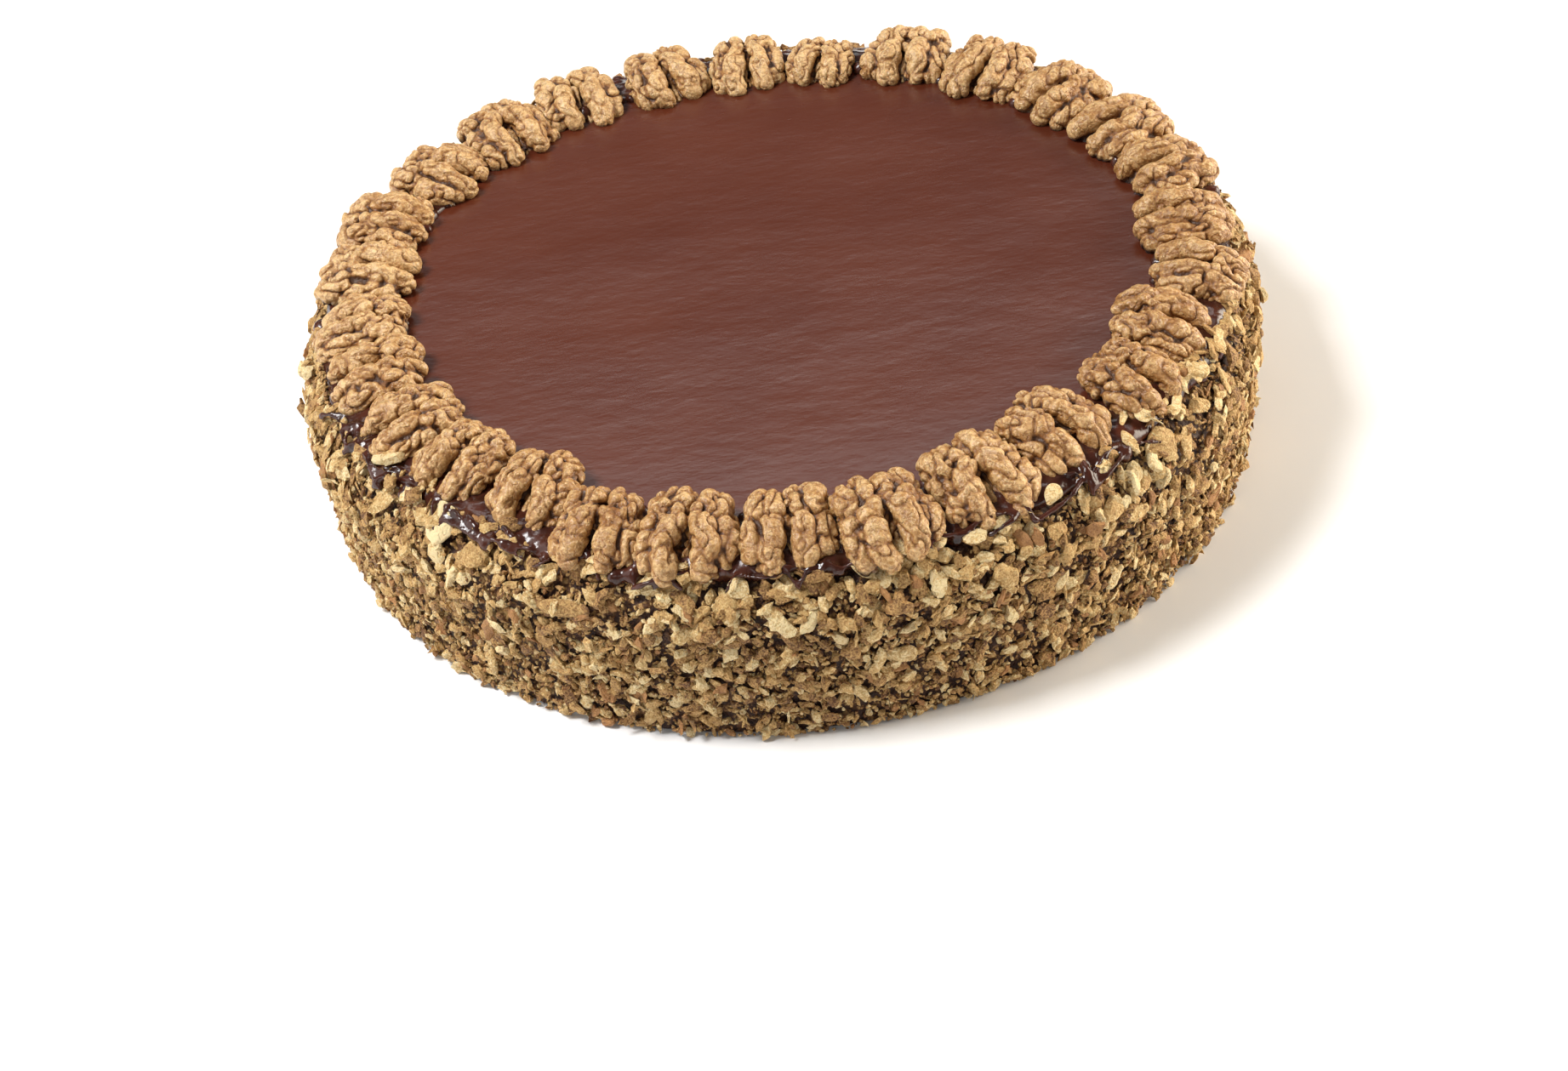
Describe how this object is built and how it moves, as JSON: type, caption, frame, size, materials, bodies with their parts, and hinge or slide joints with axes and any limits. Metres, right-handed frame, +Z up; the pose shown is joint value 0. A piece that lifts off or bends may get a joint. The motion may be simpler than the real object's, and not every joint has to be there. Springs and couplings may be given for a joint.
{
  "type": "chocolate walnut cake",
  "caption": "Round uncut chocolate cake with a smooth glazed top, walnut halves set round the rim in dark ganache, and a side coated in chopped walnut.",
  "frame": {"origin": "centre of the flat underside, on the cake's upright axis", "axes": "+Z up through the middle of the cake, -Y towards the front of the view it was made from"},
  "size_m": [0.2804, 0.2805, 0.0656],
  "materials": {
    "chopped_walnut": "rough chopped nut pieces over dark chocolate",
    "chocolate_glaze": "satin poured chocolate with faint ripples",
    "dark_ganache": "glossy, uneven",
    "walnut_half": "satin kernel skin with darker creases"
  },
  "bodies": {
    "root": {"cake": "chopped_walnut", "glaze": "chocolate_glaze", "ganache_bead": "dark_ganache", "walnut_01": "walnut_half", "walnut_02": "walnut_half", "walnut_03": "walnut_half", "walnut_04": "walnut_half", "walnut_05": "walnut_half", "walnut_06": "walnut_half", "walnut_07": "walnut_half", "walnut_08": "walnut_half", "walnut_09": "walnut_half", "walnut_10": "walnut_half", "walnut_11": "walnut_half", "walnut_12": "walnut_half", "walnut_13": "walnut_half", "walnut_14": "walnut_half", "walnut_15": "walnut_half", "walnut_16": "walnut_half", "walnut_17": "walnut_half", "walnut_18": "walnut_half", "walnut_19": "walnut_half", "walnut_20": "walnut_half", "walnut_21": "walnut_half", "walnut_22": "walnut_half", "walnut_23": "walnut_half", "walnut_24": "walnut_half", "walnut_25": "walnut_half", "walnut_26": "walnut_half", "walnut_27": "walnut_half", "walnut_28": "walnut_half"}
  },
  "joints": []
}
